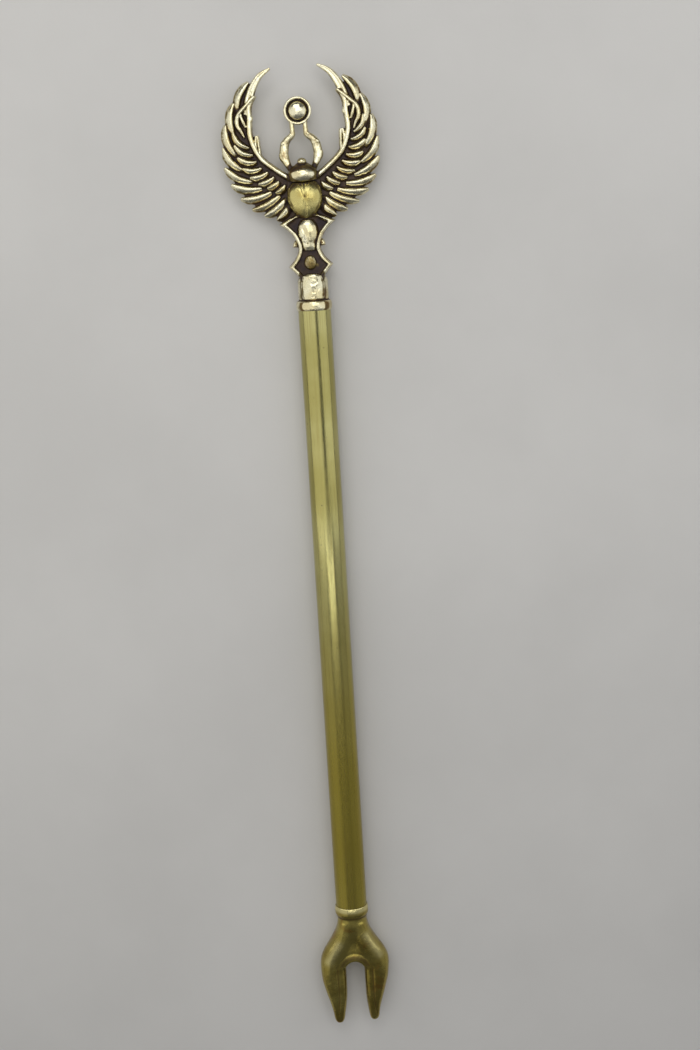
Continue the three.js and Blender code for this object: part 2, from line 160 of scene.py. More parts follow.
def blade(line, width, crest, keel, edge, lean=0.0, fall=1.7, cut=(0.5, 0.0, 0.2), samples=11):
    """A tapering bar along a line in the plane, with a crest that leans to one side and a shallow keel."""
    share = np.linspace(0, 1, len(line))
    half = marks(width, share)[:, None] / 2
    top = marks(crest, share)[:, None]
    bottom = marks(keel, share)[:, None]
    rim = marks(edge, share)[:, None]
    side = np.linspace(-1, 1, samples)
    away = np.abs(side - lean) / (1 - lean * np.sign(side - lean))
    place, depth, spread = cut
    groove = depth * np.exp(-(((side - place) / spread) ** 2)) * np.sin(np.pi * share[:, None]) ** 0.7
    front = rim + (top - rim) * (1 - away**fall) - groove
    back = -rim + (bottom + rim) * (1 - side**2)
    across = np.concatenate([side, side[::-1]])
    height = np.concatenate([front, back[:, ::-1]], 1)
    flat = line[:, None, :] + sideways(line)[:, None, :] * (half * across)[..., None]
    return skin(np.concatenate([flat, height[..., None]], 2))


def bar(line, width, thickness, lift, sides=16):
    """A bar with an oval section along a line in the plane."""
    share = np.linspace(0, 1, len(line))
    half = marks(width, share)[:, None] / 2
    deep = marks(thickness, share)[:, None] / 2
    turn = 2 * np.pi * (np.arange(sides) + 0.5) / sides
    flat = line[:, None, :] + sideways(line)[:, None, :] * (half * np.cos(turn))[..., None]
    height = marks(lift, share)[:, None] + deep * np.sin(turn)
    return skin(np.concatenate([flat, height[..., None]], 2))


def mound(start, end, half_width, top, floor, roundness=1.0, bow=0.0, relief=None, slices=44, spans=44):
    """A mound that rises from a floor: slices across X, each an arch, between two places along Y."""
    share = (1 - np.cos(np.pi * np.arange(slices + 1) / slices)) / 2
    half = marks(half_width, share)[:, None]
    rise = marks(top, share)[:, None] - floor
    turn = np.pi * np.arange(spans + 1) / spans
    x = half * np.cos(turn)
    y = (start + (end - start) * share)[:, None] + bow * x**2
    z = floor + rise * np.sin(turn) ** roundness
    if relief is not None:
        z = z - relief(x, y)
    z = np.maximum(z, floor)
    z[:, 0] = floor
    z[:, -1] = floor
    return skin(np.stack([x, y, z], 2))


def lathed(profile, sides=128):
    """A closed skin turned round the Y axis. The profile gives (radius, y) and starts and ends near the axis."""
    p = np.asarray(profile, float)
    turn = 2 * np.pi * np.arange(sides) / sides
    rings = [
        np.stack([np.full(sides, y) if axis == 1 else r * wave for axis, wave in enumerate((np.sin(turn), turn, np.cos(turn)))], 1)
        for r, y in np.maximum(p, [[0.02, -1e9]])
    ]
    return skin(rings)


def moved(piece, turn=None, shift=(0, 0, 0), size=(1, 1, 1)):
    """The piece scaled, turned by a 3 x 3 matrix and moved."""
    points, faces = piece
    points = points * np.asarray(size, float)
    if turn is not None:
        points = points @ np.asarray(turn, float).T
    return points + np.asarray(shift, float), faces


def mirrored(piece):
    """The piece on the other side of the middle."""
    return moved(piece, size=(-1, 1, 1))


def gathered(pieces):
    """Points and faces of several pieces together."""
    points, faces, count = [], [], 0
    for own_points, own_faces in pieces:
        points.append(own_points)
        faces += [tuple(index + count for index in face) for face in own_faces]
        count += len(own_points)
    return np.vstack(points), faces


def inset(outline, distance):
    """The outline moved inwards by one distance all round."""
    p = np.asarray(outline, float)
    before = np.roll(p, 1, axis=0)
    after = np.roll(p, -1, axis=0)
    u = (p - before) / np.linalg.norm(p - before, axis=1)[:, None]
    v = (after - p) / np.linalg.norm(after - p, axis=1)[:, None]
    reach = distance / (1 + (u * v).sum(1))
    return p + reach[:, None] * np.stack([-(u + v)[:, 1], (u + v)[:, 0]], 1)


def stacked(outline, levels):
    """A closed skin over copies of an outline, each moved inwards and set at its own height."""
    rings = []
    for distance, height in levels:
        flat = inset(outline, distance)
        rings.append(np.column_stack([flat, np.full(len(flat), height)]))
    return skin(rings)


# The winged scarab head, drawn upright in millimetres above its collar

WING = {
    "leading_edge": [(6, 63.6), (12.6, 68.4), (19.6, 75), (23.3, 84.5), (23, 93), (22.6, 99), (19.4, 103.6)],
    "horn": [(24.2, 95), (22.4, 101.5), (20.2, 107), (16.4, 112.2), (11.1, 115.4)],
    "shoulder": [(26, 84.6), (27.3, 87.6), (28.7, 90), (28.9, 92.6), (28, 95.4), (25.2, 98.2), (19.6, 103.3)],
    "inner_feather": [(25.1, 89.2), (25.9, 91.6), (26.6, 93.8), (27, 96)],
    "tips": [(21.6, 110), (29.8, 101), (34.8, 90.9), (37.3, 78), (35.2, 64.4), (25.5, 50.5), (14.2, 44.6)],
    "roots": [(27.6, 97.4), (31, 85.5), (31.2, 76.8), (29.4, 70.8), (25.9, 64.4), (18.8, 58.4), (11.1, 54.3), (8, 51)],
    "covert_heads": [(25, 80.2), (22, 72.9), (17.1, 67.1), (9.1, 60.7)],
    "covert_tips": [(30.8, 86.9), (29.7, 75.9), (24.4, 65.6), (13.2, 57.9)],
}
UPPER_COVERT = ((26.4, 83.6), (30.5, 90.2))
PRIMARIES = 10
PRIMARY_TIP_RATIO = 0.922
PRIMARY_ROOT_RATIO = 0.87
COVERTS = 8
COVERT_HEAD_RATIO = 0.98
COVERT_TIP_RATIO = 0.95


def spaced(index, count, ratio):
    return (1 - ratio**index) / (1 - ratio ** (count - 1))


def feather_line(root, tip, bow, steps=16):
    """A line between two points, bowed to one side by a share of its length."""
    across = tip - root
    middle = (root + tip) / 2 + bow * np.array([across[1], -across[0]])
    t = np.linspace(0, 1, steps + 1)[:, None]
    return resampled((1 - t) ** 2 * root + 2 * t * (1 - t) * middle + t**2 * tip, steps)


def primaries(chance):
    """The long feathers, from the one beside the horn down to the one beside the scarab."""
    roots, tips = curve(WING["roots"], 200), curve(WING["tips"], 200)
    feathers = []
    for index in range(PRIMARIES):
        place = index / (PRIMARIES - 1)
        root = point_at(roots, spaced(index, PRIMARIES, PRIMARY_ROOT_RATIO)) + chance.normal(0, 0.12, 2)
        tip = point_at(tips, spaced(index, PRIMARIES, PRIMARY_TIP_RATIO)) + chance.normal(0, 0.1, 2)
        broad = (4.2 + 0.7 * place) * chance.normal(1, 0.03)
        root = root + 0.15 * (root - tip)
        line = feather_line(root, tip, 0.3 - 0.14 * place + chance.normal(0, 0.012))
        feathers.append(blade(
            line,
            width=[0.6 * broad, 0.9 * broad, broad, broad, 0.85 * broad, 0.35 * broad],
            crest=[1.7, 2.2, 2.4, 2.4, 2.1, 1.4], keel=[-1.5, -1.8, -1.8, -1.8, -1.6, -1],
            edge=[0, 0, 0, 0, 0, 0.1], lean=-0.34, fall=2.1, cut=(0.4, 0.12, 0.2),
        ))
    return feathers


def coverts(chance, heads, tips, count):
    """The short feathers over the roots of the long ones, from the shoulder down to the scarab."""
    heads, tips = curve(heads, 200), curve(tips, 200)
    feathers = []
    for index in range(count):
        head = point_at(heads, spaced(index, count, COVERT_HEAD_RATIO)) + chance.normal(0, 0.12, 2)
        tip = point_at(tips, spaced(index, count, COVERT_TIP_RATIO)) + chance.normal(0, 0.15, 2)
        broad = 4.1 * chance.normal(1, 0.04)
        head, tip = head + 0.12 * (head - tip), tip + 0.13 * (tip - head)
        feathers.append(blade(
            feather_line(head, tip, 0.38 - 0.14 * index / (count - 1), steps=14),
            width=[0.5 * broad, 0.9 * broad, broad, 0.95 * broad, 0.5 * broad],
            crest=[2.6, 3.05, 3.1, 3, 2.5], keel=[-0.6, -0.8, -0.8, -0.8, -0.6],
            edge=[0.1, 0.1, 0.1, 0.1, 0.2], lean=-0.34, fall=2.1, cut=(0.4, 0.12, 0.2),
        ))
    return feathers


def wing_sheet():
    """The sheet of metal that the feathers stand out of."""
    samples = 24
    edge = curve(WING["leading_edge"], samples)
    roots = curve(WING["roots"], samples)
    tips = curve(WING["tips"], samples)
    share = np.linspace(0.7, 0.8, samples + 1)[:, None]
    outer = roots * (1 - share) + tips * share
    beside_horn = (20.2, 107.6)
    outline = np.vstack([[(2, 62)], edge, [beside_horn], outer, [(11.6, 43.2), (2, 44)]])
    rings = [np.column_stack([outline, np.full(len(outline), height)]) for height in (-1.9, 0.3)]
    return skin(rings)


def drooped(points, droop):
    """Feathers hang a little lower, and the upper ones a little further out."""
    points = points.copy()
    points[:, 0] += 0.9 * droop * step_between(84, 108, points[:, 1])
    points[:, 1] -= 0.8 * droop * step_between(45, 60, points[:, 1])
    return points


def right_wing(chance, own=False):
    """One wing with its leading band, horn, shoulder and the small hook inside the band.

    The right one's own form has long feathers that droop, one short feather more and a broader hook.
    """
    band = blade(
        curve(WING["leading_edge"], 60),
        width=[3, 2.8, 2.8, 2.9, 2.9, 2.9, 2.9, 2.9, 2], crest=[3.2, 3.1, 3, 3, 3, 2.9, 2.8, 2.6, 2],
        keel=[-2.2, -2.2, -2.2, -2.2, -2.2, -2.2, -2, -1.8, -1.2],
        edge=[1.0, 0.9, 0.9, 0.9, 0.9, 0.9, 0.8, 0.7, 0.5], fall=3.4,
    )
    horn = blade(
        curve(WING["horn"], 40),
        width=[3.6, 4.3, 4.3, 3.9, 3.3, 2.5, 1.2], crest=[2.2, 2.5, 2.5, 2.4, 2.2, 1.9, 1.2],
        keel=[-1.5, -1.7, -1.8, -1.8, -1.6, -1.3, -0.8], edge=[0.6, 0.6, 0.6, 0.6, 0.5, 0.5, 0.4],
        lean=0.1, fall=5, cut=(-0.1, 0.5, 0.42),
    )
    shoulder = blade(
        curve(WING["shoulder"], 30),
        width=[1.1, 2.4, 2.9, 2.6, 2.4, 2.3, 1.7], crest=[2.3, 2.9, 3.1, 3.2, 3.2, 3.1, 2.6], keel=[-1, -1.2, -1.2, -1.2, -1],
        edge=[0.5, 0.6, 0.8, 0.8, 0.6], fall=3,
    )
    inner_feather = blade(
        curve(WING["inner_feather"], 30),
        width=[1.2, 2.2, 2.3, 1.8], crest=[2.2, 2.8, 2.9, 2.6], keel=[-1, -1.2, -1.2, -1],
        edge=[0.4, 0.5, 0.5, 0.5, 0.4], fall=2.8,
    )
    broad = 3.4 if own else 2.8
    hook = blade(
        curve([(19.8, 75.6), (20.3, 80), (20.3, 85)], 24),
        width=[0.8 * broad, broad, broad, broad, 0.8 * broad], crest=[2.8, 2.7, 2.7, 2.7, 2.5],
        keel=[-1.8, -1.8, -1.8, -1.7, -1.4], edge=[1.0, 0.9, 0.9, 0.9, 0.9], fall=4.5, cut=(0, 1.1, 0.24),
    )
    knot = moved(ball(), size=(1.2, 1.8, 1.3), shift=(22.3, 93.2, 1.4))
    heads, tips, count, droop = WING["covert_heads"], WING["covert_tips"], COVERTS, 0
    if own:
        upper_head, upper_tip = UPPER_COVERT
        heads, tips, count, droop = [upper_head, *heads], [upper_tip, *tips], COVERTS + 1, 1
    long_feathers = [(drooped(points, droop), faces) for points, faces in primaries(chance)]
    return [
        wing_sheet(), band, horn, shoulder, inner_feather, hook, knot, *long_feathers,
        *coverts(chance, heads, tips, count),
    ]


def ball(sides=20, rings=12):
    """A ball of radius 1."""
    up = np.pi * (np.arange(1, rings) / rings)
    turn = 2 * np.pi * np.arange(sides) / sides
    return skin([np.stack([math.sin(a) * np.cos(turn), math.sin(a) * np.sin(turn), np.full(sides, math.cos(a))], 1) for a in up])


def dent(x, y, centre, radius, depth):
    """A soft round dent."""
    return depth * np.exp(-(((x - centre[0]) ** 2 + (y - centre[1]) ** 2) / radius**2))


def groove_line(x, y, start, end, width, depth):
    """A soft straight groove between two points."""
    start, end = np.asarray(start, float), np.asarray(end, float)
    along = end - start
    t = np.clip(((x - start[0]) * along[0] + (y - start[1]) * along[1]) / (along @ along), 0, 1)
    away = (x - start[0] - t * along[0]) ** 2 + (y - start[1] - t * along[1]) ** 2
    return depth * np.exp(-away / width**2)


def oval_half(low, high, widest_half, start, end, count=25):
    """Half widths of an oval from low to high, at even steps between two places along it."""
    y = np.linspace(start, end, count)
    middle, reach = (low + high) / 2, (high - low) / 2
    return widest_half * np.sqrt(np.maximum(1 - ((y - middle) / reach) ** 2, 0.01))


def scarab():
    """The body, the two wing cases with the groove and the small V between them, the shield and the head."""

    def case_relief(x, y):
        seam = groove_line(x, y, (0.1, 60.5), (0.1, 46.4), 0.34, 0.5)
        left = groove_line(x, y, (-1.6, 60.6), (-0.2, 55.2), 0.4, 0.3)
        right = groove_line(x, y, (1.7, 60.6), (0.4, 54.6), 0.35, 0.2)
        lines = sum(groove_line(x, y, (s * 3.4, 58), (s * 2.8, 47), 0.5, 0.05) for s in (-1, 1))
        return seam + left + right + lines

    def shield_relief(x, y):
        return groove_line(x, y, (-2.4, 69.2), (2.4, 69.2), 0.5, 0.12)

    body = mound(45.4, 69.4, [3, 6, 7.4, 8.2, 8.6, 8.6, 8.4, 7.6, 6, 3], [1.5, 2.4, 2.6, 2.6, 2.4, 1.5], -2.6)
    belly = mound(44.4, 70.5, [2.6, 5.6, 7.4, 8, 8, 7.6, 5.6, 3], [2, 3.2, 3.6, 3.4, 2], -1.2)
    cases = mound(
        44.9, 61.3, oval_half(44.3, 63.8, 8.5, 44.9, 61.3), [4.4, 5.7, 6.4, 6.8, 7.1, 7.1, 6.9, 6.2, 4.8], 1,
        roundness=0.75, bow=0.016, relief=case_relief, slices=80, spans=90,
    )
    shield = mound(
        61.9, 70.3, oval_half(57.6, 70.6, 7.1, 61.9, 70.3), [5.5, 6.6, 7, 6.6, 5.4, 3.2], 1,
        roundness=0.85, bow=0.016, relief=shield_relief, slices=50, spans=60,
    )
    head = moved(ball(), size=(2.2, 1.75, 2.4), shift=(0, 71.3, 2.3))
    horn = moved(ball(), size=(3.2, 1.3, 1.6), shift=(0, 69.9, 1.2))
    return [body, moved(belly, size=(-1, 1, -1)), cases, shield, head, horn]


def right_leg():
    """One of the two raised legs that hold the disc, with its knots."""
    path = [(3.2, 90), (3.2, 86), (3.5, 83.9), (6, 81.8), (7.4, 79.5), (7.9, 77), (8.2, 74.3), (7.2, 71.5), (4.6, 66)]
    leg = blade(
        curve(path, 60), width=[2.2, 2.2, 2.4, 3, 3.3, 3.8, 4.3, 4.3, 4.7, 3.8, 3, 2.8, 2.8],
        crest=[1.9, 2, 2.1, 2.4, 2.5], keel=[-1.4, -1.3, -1.2, -1, -1], edge=[0.7, 0.7, 0.8, 0.9, 0.9], fall=3.6,
    )
    knots = [(4.1, 83.9, 1.1), (8.1, 80.2, 1.3), (9, 75.1, 1.5), (6.9, 77.3, 0.9)]
    return [leg, *(moved(ball(), size=(size, size, 1), shift=(x, y, 1.2)) for x, y, size in knots)]


def sun_disc():
    """The ring, its sunk field and the ball, turned round an axis that points up."""
    outer, field = 6.65, 0.6
    angles = np.radians(np.linspace(-90, 200, 16))
    rim = [(outer - 0.65 + 0.65 * math.cos(a), 1.45 + 0.65 * math.sin(a)) for a in angles if a > -0.2]
    dome = [(4.6 * math.cos(a), field + 2.9 * math.sin(a)) for a in np.radians(np.linspace(0, 88, 14))]
    profile = [(0, -1.9), (outer - 1.2, -1.7), (outer - 0.2, -1.1), *rim, (outer - 1.35, field), *dome]
    return moved(lathed(profile, 96), turn=((1, 0, 0), (0, 0, -1), (0, 1, 0)), shift=(0.1, 95, 0))


def frame_plate():
    """The waisted frame between the neck and the scarab: a bright rim round a sunk field."""
    half = [(0, 14), (5.4, 14), (5.4, 17.2), (7.7, 19.9), (9.7, 22.1), (7.4, 24.5), (6.3, 25.9), (5.5, 27.4), (4.9, 28.8),
            (4.6, 30.4), (4.8, 32.2), (5.3, 34), (6.1, 35.8), (7.1, 37.6), (9.5, 40.3), (12.3, 42.5), (5.4, 45.6), (0, 46.4)]
    outline = half + [(-x, y) for x, y in half[-2:0:-1]]
    levels = [(0, -3.2), (-0.7, -2.5), (-0.75, 1), (-0.5, 3.4), (-0.2, 4.25), (0.15, 4.6), (0.8, 4.65), (1.15, 4.3),
              (1.4, 2.4)]
    points, faces = stacked(outline, levels)
    behind = (np.abs(points[:, 0]) < 5.2) & (points[:, 1] > 43.5)
    points[behind, 2] = np.minimum(points[behind, 2], 2.5)
    return points, faces


def bell_relief(x, y):
    """The long soft valleys and the dents on the bell."""
    return (groove_line(x, y, (-1.9, 39.5), (-0.8, 33), 0.9, 0.5) + groove_line(x, y, (2.8, 37), (2.2, 32), 0.8, 0.15)
            + dent(x, y, (-3.4, 35.2), 0.8, 0.3))


def tail():
    """The frame with the bell, the small oval and the two spurs."""
    bell = mound(
        29.4, 43.9, [3.1, 3.5, 3.8, 4.4, 4.9, 5, 4.9, 4.3, 3], [4.3, 5, 5.3, 5.7, 6, 6.1, 5.8, 5.3, 4.4], 1,
        roundness=0.6, relief=bell_relief, slices=60, spans=50,
    )
    oval = moved(ball(32, 20), size=(2.9, 3.4, 1.2), shift=(-0.2, 23.6, 2.5))
    spur = stacked([(3.5, 31), (7.9, 31.4), (7.6, 33), (7.1, 34.1), (3.5, 36)], [(0.4, -1.3), (0, -0.6), (0, 2.6), (0.6, 3.3)])
    return [frame_plate(), bell, oval, spur, mirrored(spur)]


def neck_plate():
    """The smooth raised plate on the front of the neck, with its notched crown."""
    low, top = HEAD_COLLAR + 0.6, NECK_TOP + 0.9
    reach = TUBE_RADIUS - 0.7 + 0.9
    rows, spans = 70, 50
    y = np.linspace(low, top, rows + 1)
    share = (y - low) / (top - low)
    half = np.interp(share, [0, 0.03, 0.1, 0.25, 0.5, 0.66, 0.72, 0.8, 0.93, 1], [4.2, 4.9, 5.3, 5.45, 5.75, 5.7, 5.1, 5, 4.4, 2.2])
    chance = np.random.default_rng(SEED + 2)
    dents = [(chance.uniform(-5.2, 5.2), chance.uniform(low + 1, top), chance.uniform(0.45, 0.9), chance.uniform(-0.12, 0.2))
             for _ in range(60)]
    rings = []
    for row, width in zip(y, half):
        side = np.linspace(-1, 1, spans + 1)
        x = width * side
        rounding = 0.9 * (np.abs(side) ** 10) + 0.7 * np.clip((low + 0.7 - row) / 0.7, 0, 1) ** 2
        z = np.sqrt(reach**2 - x**2) - rounding
        z = z - 0.6 * np.clip((row - 16.2) / 1.5, 0, 1) ** 2
        z = z - dent(x, row, (0.5, 9), 0.55, 0.22) - dent(x, row, (0, 6.7), 0.45, 0.15)
        z = z - groove_line(x, row, (-2.2, 13), (2.6, 13.6), 0.5, 0.12)
        z = z + ring_mark(x, row, (0.5, 14.5), 2.5, 0.1)
        z = z - dent(x, row, (-3, 17.5), 0.6, 0.8) - dent(x, row, (3, 17.5), 0.6, 0.8)
        for u, v, radius, depth in dents:
            z = z - dent(x, row, (u, v), radius, depth)
        ring = np.column_stack([x, np.full(spans + 1, row), z])
        base = np.array([(width, row, 1.0), (-width, row, 1.0)])
        rings.append(np.vstack([ring, base]))
    return skin(rings)


def ring_mark(x, y, centre, radius, height):
    """A faint raised ring."""
    away = np.sqrt((x - centre[0]) ** 2 + (y - centre[1]) ** 2)
    return height * np.exp(-(((away - radius) / 0.4) ** 2))


def neck():
    """The collar bead and the round stem."""
    stem = TUBE_RADIUS - 0.7
    ring = COLLAR_RADIUS * ROUND_SHRINK
    bead = [(ring - 0.55 * (1 - math.sin(a)), HEAD_COLLAR / 2 - (HEAD_COLLAR / 2 - 0.1) * math.cos(a))
            for a in np.linspace(0, math.pi, 15)]
    return lathed([
        (0, 0), (ring - 0.75, 0), *bead, (stem - 0.15, HEAD_COLLAR + 0.25), (stem, HEAD_COLLAR + 1.2),
        (stem, NECK_TOP - 2.6), (stem - 0.8, NECK_TOP - 1), (stem - 2.8, NECK_TOP), (0, NECK_TOP),
    ])


def upright(points):
    """Points of the finished head, back in the upright drawing."""
    lean = math.radians(-HEAD_LEAN)
    turn = np.array(((math.cos(lean), -math.sin(lean), 0), (math.sin(lean), math.cos(lean), 0), (0, 0, 1)))
    pivot = np.array([0, HEAD_LEAN_PIVOT, 0])
    return (points + (0, CARVING_DROP, 0) - pivot) @ turn.T + pivot


def on_wing_cases(drawn):
    """1 at the middle of the wing cases, 0 at their rim and less outside."""
    return 1 - np.hypot((drawn[:, 0] - 0.1) / 8.8, (drawn[:, 1] - 53.6) / 9.2)


def head_skin():
    """The whole head, leaning a little on its straight neck."""
    left_chance = np.random.default_rng(SEED)
    right_chance = np.random.default_rng(SEED + 1)
    pieces = [mirrored(piece) for piece in right_wing(left_chance)] + right_wing(right_chance, own=True)
    pieces += right_leg() + [mirrored(piece) for piece in right_leg()]
    pieces += [sun_disc(), *tail(), *scarab()]
    lean = math.radians(HEAD_LEAN)
    turn = ((math.cos(lean), -math.sin(lean), 0), (math.sin(lean), math.cos(lean), 0), (0, 0, 1))
    pivot = np.array([0, HEAD_LEAN_PIVOT, 0])
    leaning = []
    for points, faces in pieces:
        leaning.append(((points - pivot) @ np.array(turn).T + pivot - (0, CARVING_DROP, 0), faces))
    return gathered([*leaning, neck(), neck_plate()])


# The forked foot, drawn in millimetres above the tips of its prongs


def prong(tip_shift, swell, short):
    """One prong, from inside the neck to its tip, drawn on the right."""
    bend = 34
    stations = np.array([
        (58, 3.2, 4.4, 7.2), (54, 3.8, 4.8, 7.3), (50, 5, 5.6, 7.4), (46, 6.6, 6.4, 7.4), (41.5, 8.8, 7.2, 7.2),
        (36.5, 10.5, 7.3, 6.6), (31, 11.2, 6.7, 6.1), (25, 11, 6.2, 5.6), (19, 10.3, 5.5, 5), (13, 9.6, 4.5, 4.3),
        (7, 9.2, 3.4, 3.4), (2.4, 9.2, 2.6, 2.6), (0.5, 9.2, 1.8, 1.8), (0, 9.2, 0.9, 0.9),
    ])
    line = curve(stations, 90)
    turn = 2 * np.pi * np.arange(48) / 48
    rings = []
    for y, x, half, deep in line:
        below = max(0, 1 - y / bend)
        middle = x + tip_shift * below
        wide = half * (1 + (swell - 1) * min(1, 3 * below * (1 - below)))
        sine, cosine = np.sin(turn), np.cos(turn)
        z = deep * np.sign(sine) * np.abs(sine) ** 0.92
        rings.append(np.column_stack([middle + wide * cosine, np.full(48, y + short * below), z]))
    return skin(rings)


def arch_band():
    """The rounded band that runs up one prong's inner side, round the arch and down the other."""
    offset, middle = SLOT_HALF + 1.7, 31.4
    arch = [(-offset * math.cos(a), middle + offset * math.sin(a)) for a in np.radians(np.linspace(0, 180, 9))]
    leg = [(offset + 1.3, 3.5), (offset + 0.8, 8), (offset + 0.2, 15), (offset, 23)]
    line = curve([(-x, y) for x, y in leg] + arch + leg[::-1], 150)
    return bar(line, width=[2, 3.2, 3.8, 4, 4.2, 4, 3.8, 3.2, 2], thickness=[4, 6.8, 8.8, 9.6, 9.6, 9.6, 8.8, 6.8, 4],
               lift=[0, 0], sides=24)


def forked_skin():
    """The prongs and the web between them, before the slot is cut."""
    web = mound(33, 61, [7, 8.4, 8, 7, 5.6], [5.8, 6.1, 5.6, 5.4, 5.7, 6.4, 7, 7], -1, roundness=0.45,
                relief=lambda x, y: groove_line(x, y, (0, 40.5), (0, 49), 1.5, 0.5))
    stem = TUBE_RADIUS - 0.4
    ring = COLLAR_RADIUS * ROUND_SHRINK
    base = FOOT_HEIGHT - FOOT_COLLAR
    upper = [(ring - 0.44 * share**2, base + 2.4 + 3.5 * share) for share in np.linspace(0, 1, 13)]
    lower = [(ring - 0.8 * share**2.2, base + 2.4 - 2.4 * share) for share in np.linspace(1, 0.08, 10)]
    bead = lower + upper
    round_neck = lathed([
        (0, base - 13), (stem - 2, base - 13), (stem - 1, base - 9), (stem, base - 5), (stem, base - 0.8),
        (stem + 0.2, base),
        *bead, (ring - 0.5, FOOT_HEIGHT), (0, FOOT_HEIGHT),
    ])
    right = prong(-0.5, 0.97, 1)
    left = mirrored(prong(0.5, 1.08, 0))
    return gathered([right, left, web, moved(web, size=(1, 1, -1)), arch_band(), round_neck])


def band_relief(points):
    """Height of the rounded band beside the slot, how near a point is to the crease that sets it off, and where the
    arch's sloping lip lies, which gets painted shade.
    """
    arch_middle = 31.4
    over = np.maximum(points[:, 1] - arch_middle, 0)
    flare = 0.12 * np.maximum(14 - points[:, 1], 0)
    away = np.hypot(points[:, 0], over) - SLOT_HALF - flare
    fade = step_between(1, 9, points[:, 1])
    swell = 0.14 * np.exp(-(((away - 2.2) / 1.3) ** 2))
    crease = np.exp(-(((away - 4.3) / 0.8) ** 2)) * (0.35 + 0.65 * step_between(38, 30, points[:, 1]))
    # The lip marks the arch's sloping rim; the foot's colour gives it painted shade.
    lip = np.exp(-(((away - 2.4) / 2) ** 2)) * step_between(29, 35, points[:, 1])
    return fade * swell, fade * crease, lip


def slot_cutter():
    """The slot between the prongs: an arch that opens towards the tips and flares in rounded lips."""
    arch_top, lip, reach = 36.2, 1.6, 6.6
    centre = arch_top - SLOT_HALF
    arch = [(SLOT_HALF * math.sin(a), centre + SLOT_HALF * math.cos(a)) for a in np.radians(np.linspace(84, -84, 29))]
    sides = [(SLOT_HALF, centre), (SLOT_HALF, 24), (SLOT_HALF, 14), (SLOT_HALF + 0.84, 7), (SLOT_HALF + 1.68, 0), (SLOT_HALF + 2.4, -6)]
    outline = [(0, -6), *sides[::-1], *arch, *[(-x, y) for x, y in sides]]
    levels = []
    for height in (-10, *np.linspace(-reach, -(reach - lip), 9), *np.linspace(reach - lip, reach, 9), 10):
        share = min(1, max(0, abs(height) - (reach - lip)) / lip)
        levels.append((-lip * (1 - math.sqrt(1 - share**2)), height))
    return stacked(outline, levels)


# Making Blender meshes of the skins


def mesh_object(name, points, faces):
    """A linked object with its own mesh."""
    mesh = bpy.data.meshes.new(name)
    mesh.from_pydata(np.asarray(points).tolist(), [], [tuple(face) for face in faces])
    mesh.update()
    obj = bpy.data.objects.new(name, mesh)
    bpy.context.scene.collection.objects.link(obj)
    return obj


def with_modifier(obj, kind, **settings):
    """Puts one modifier on the object, applies it and returns the object."""
    modifier = obj.modifiers.new(kind.title(), kind)
    for key, value in settings.items():
        setattr(modifier, key, value)
    graph = bpy.context.evaluated_depsgraph_get()
    mesh = bpy.data.meshes.new_from_object(obj.evaluated_get(graph), depsgraph=graph)
    old = obj.data
    obj.modifiers.clear()
    obj.data = mesh
    mesh.name = obj.name
    bpy.data.meshes.remove(old)
    return obj


def cut_away(obj, piece):
    """Takes a closed skin away from the object."""
    points, faces = piece
    cutter = mesh_object("cutter", points, faces)
    cutter_mesh = cutter.data
    bpy.context.view_layer.update()
    with_modifier(obj, "BOOLEAN", operation="DIFFERENCE", object=cutter, solver="MANIFOLD")
    bpy.data.objects.remove(cutter)
    bpy.data.meshes.remove(cutter_mesh)
    return obj


def points_of(mesh):
    points = np.empty(len(mesh.vertices) * 3)
    mesh.vertices.foreach_get("co", points)
    return points.reshape(-1, 3)


def normals_of(mesh):
    normals = np.empty(len(mesh.vertices) * 3)
    mesh.vertex_normals.foreach_get("vector", normals)
    return normals.reshape(-1, 3)


def edges_of(mesh):
    edges = np.empty(len(mesh.edges) * 2, dtype=np.int64)
    mesh.edges.foreach_get("vertices", edges)
    return edges.reshape(-1, 2)


def put_points(mesh, points):
    mesh.vertices.foreach_set("co", np.asarray(points, float).ravel())
    mesh.update()


def eased(points, edges, strengths):
    """Moves each point towards the middle of its neighbours, once for each strength."""
    first, second = edges.T
    count = len(points)
    degree = np.maximum(np.bincount(edges.ravel(), minlength=count), 1)[:, None]
    for strength in strengths:
        total = np.stack([
            np.bincount(first, points[second, axis], count) + np.bincount(second, points[first, axis], count)
            for axis in range(3)
        ], 1)
        points = points + strength * (total / degree - points)
    return points


def soft_noise(points, scale, seed):
    """Smooth noise between about -1 and 1 at each point."""
    shift = Vector((seed * 17.3, seed * 5.1, seed * 9.7))
    return np.array([noise.noise(Vector(point) * scale + shift) for point in points.tolist()])


def widest(grid, radius):
    """The highest value within a square of that radius, in cells."""
    for axis in (0, 1):
        best = grid
        for step in range(1, radius + 1):
            best = np.maximum(best, np.maximum(np.roll(grid, step, axis), np.roll(grid, -step, axis)))
        grid = best
    return grid


def depth_below(points, normals, cell, radius):
    """How far each point lies under the highest metal near it, seen from its own side."""
    low = points[:, :2].min(0) - (radius + 2) * cell
    place = ((points[:, :2] - low) / cell).astype(int)
    size = place.max(0) + radius + 3
    depth = np.zeros(len(points))
    for sign, mine in ((1, normals[:, 2] > -0.25), (-1, normals[:, 2] <= -0.25)):
        grid = np.full(size, -1e3)
        np.maximum.at(grid, (place[mine, 0], place[mine, 1]), sign * points[mine, 2])
        high = widest(grid, radius)
        for _ in range(2):
            for axis in (0, 1):
                high = (high + np.roll(high, 1, axis) + np.roll(high, -1, axis)) / 3
        depth[mine] = high[place[mine, 0], place[mine, 1]] - sign * points[mine, 2]
    return np.clip(depth, 0, 20)


def hollow(points, normals, edges, rounds):
    """How far each point lies inside the smoothed surface: positive in hollows, negative on ridges."""
    smooth = eased(points, edges, [0.6] * rounds)
    return ((smooth - points) * normals).sum(1)


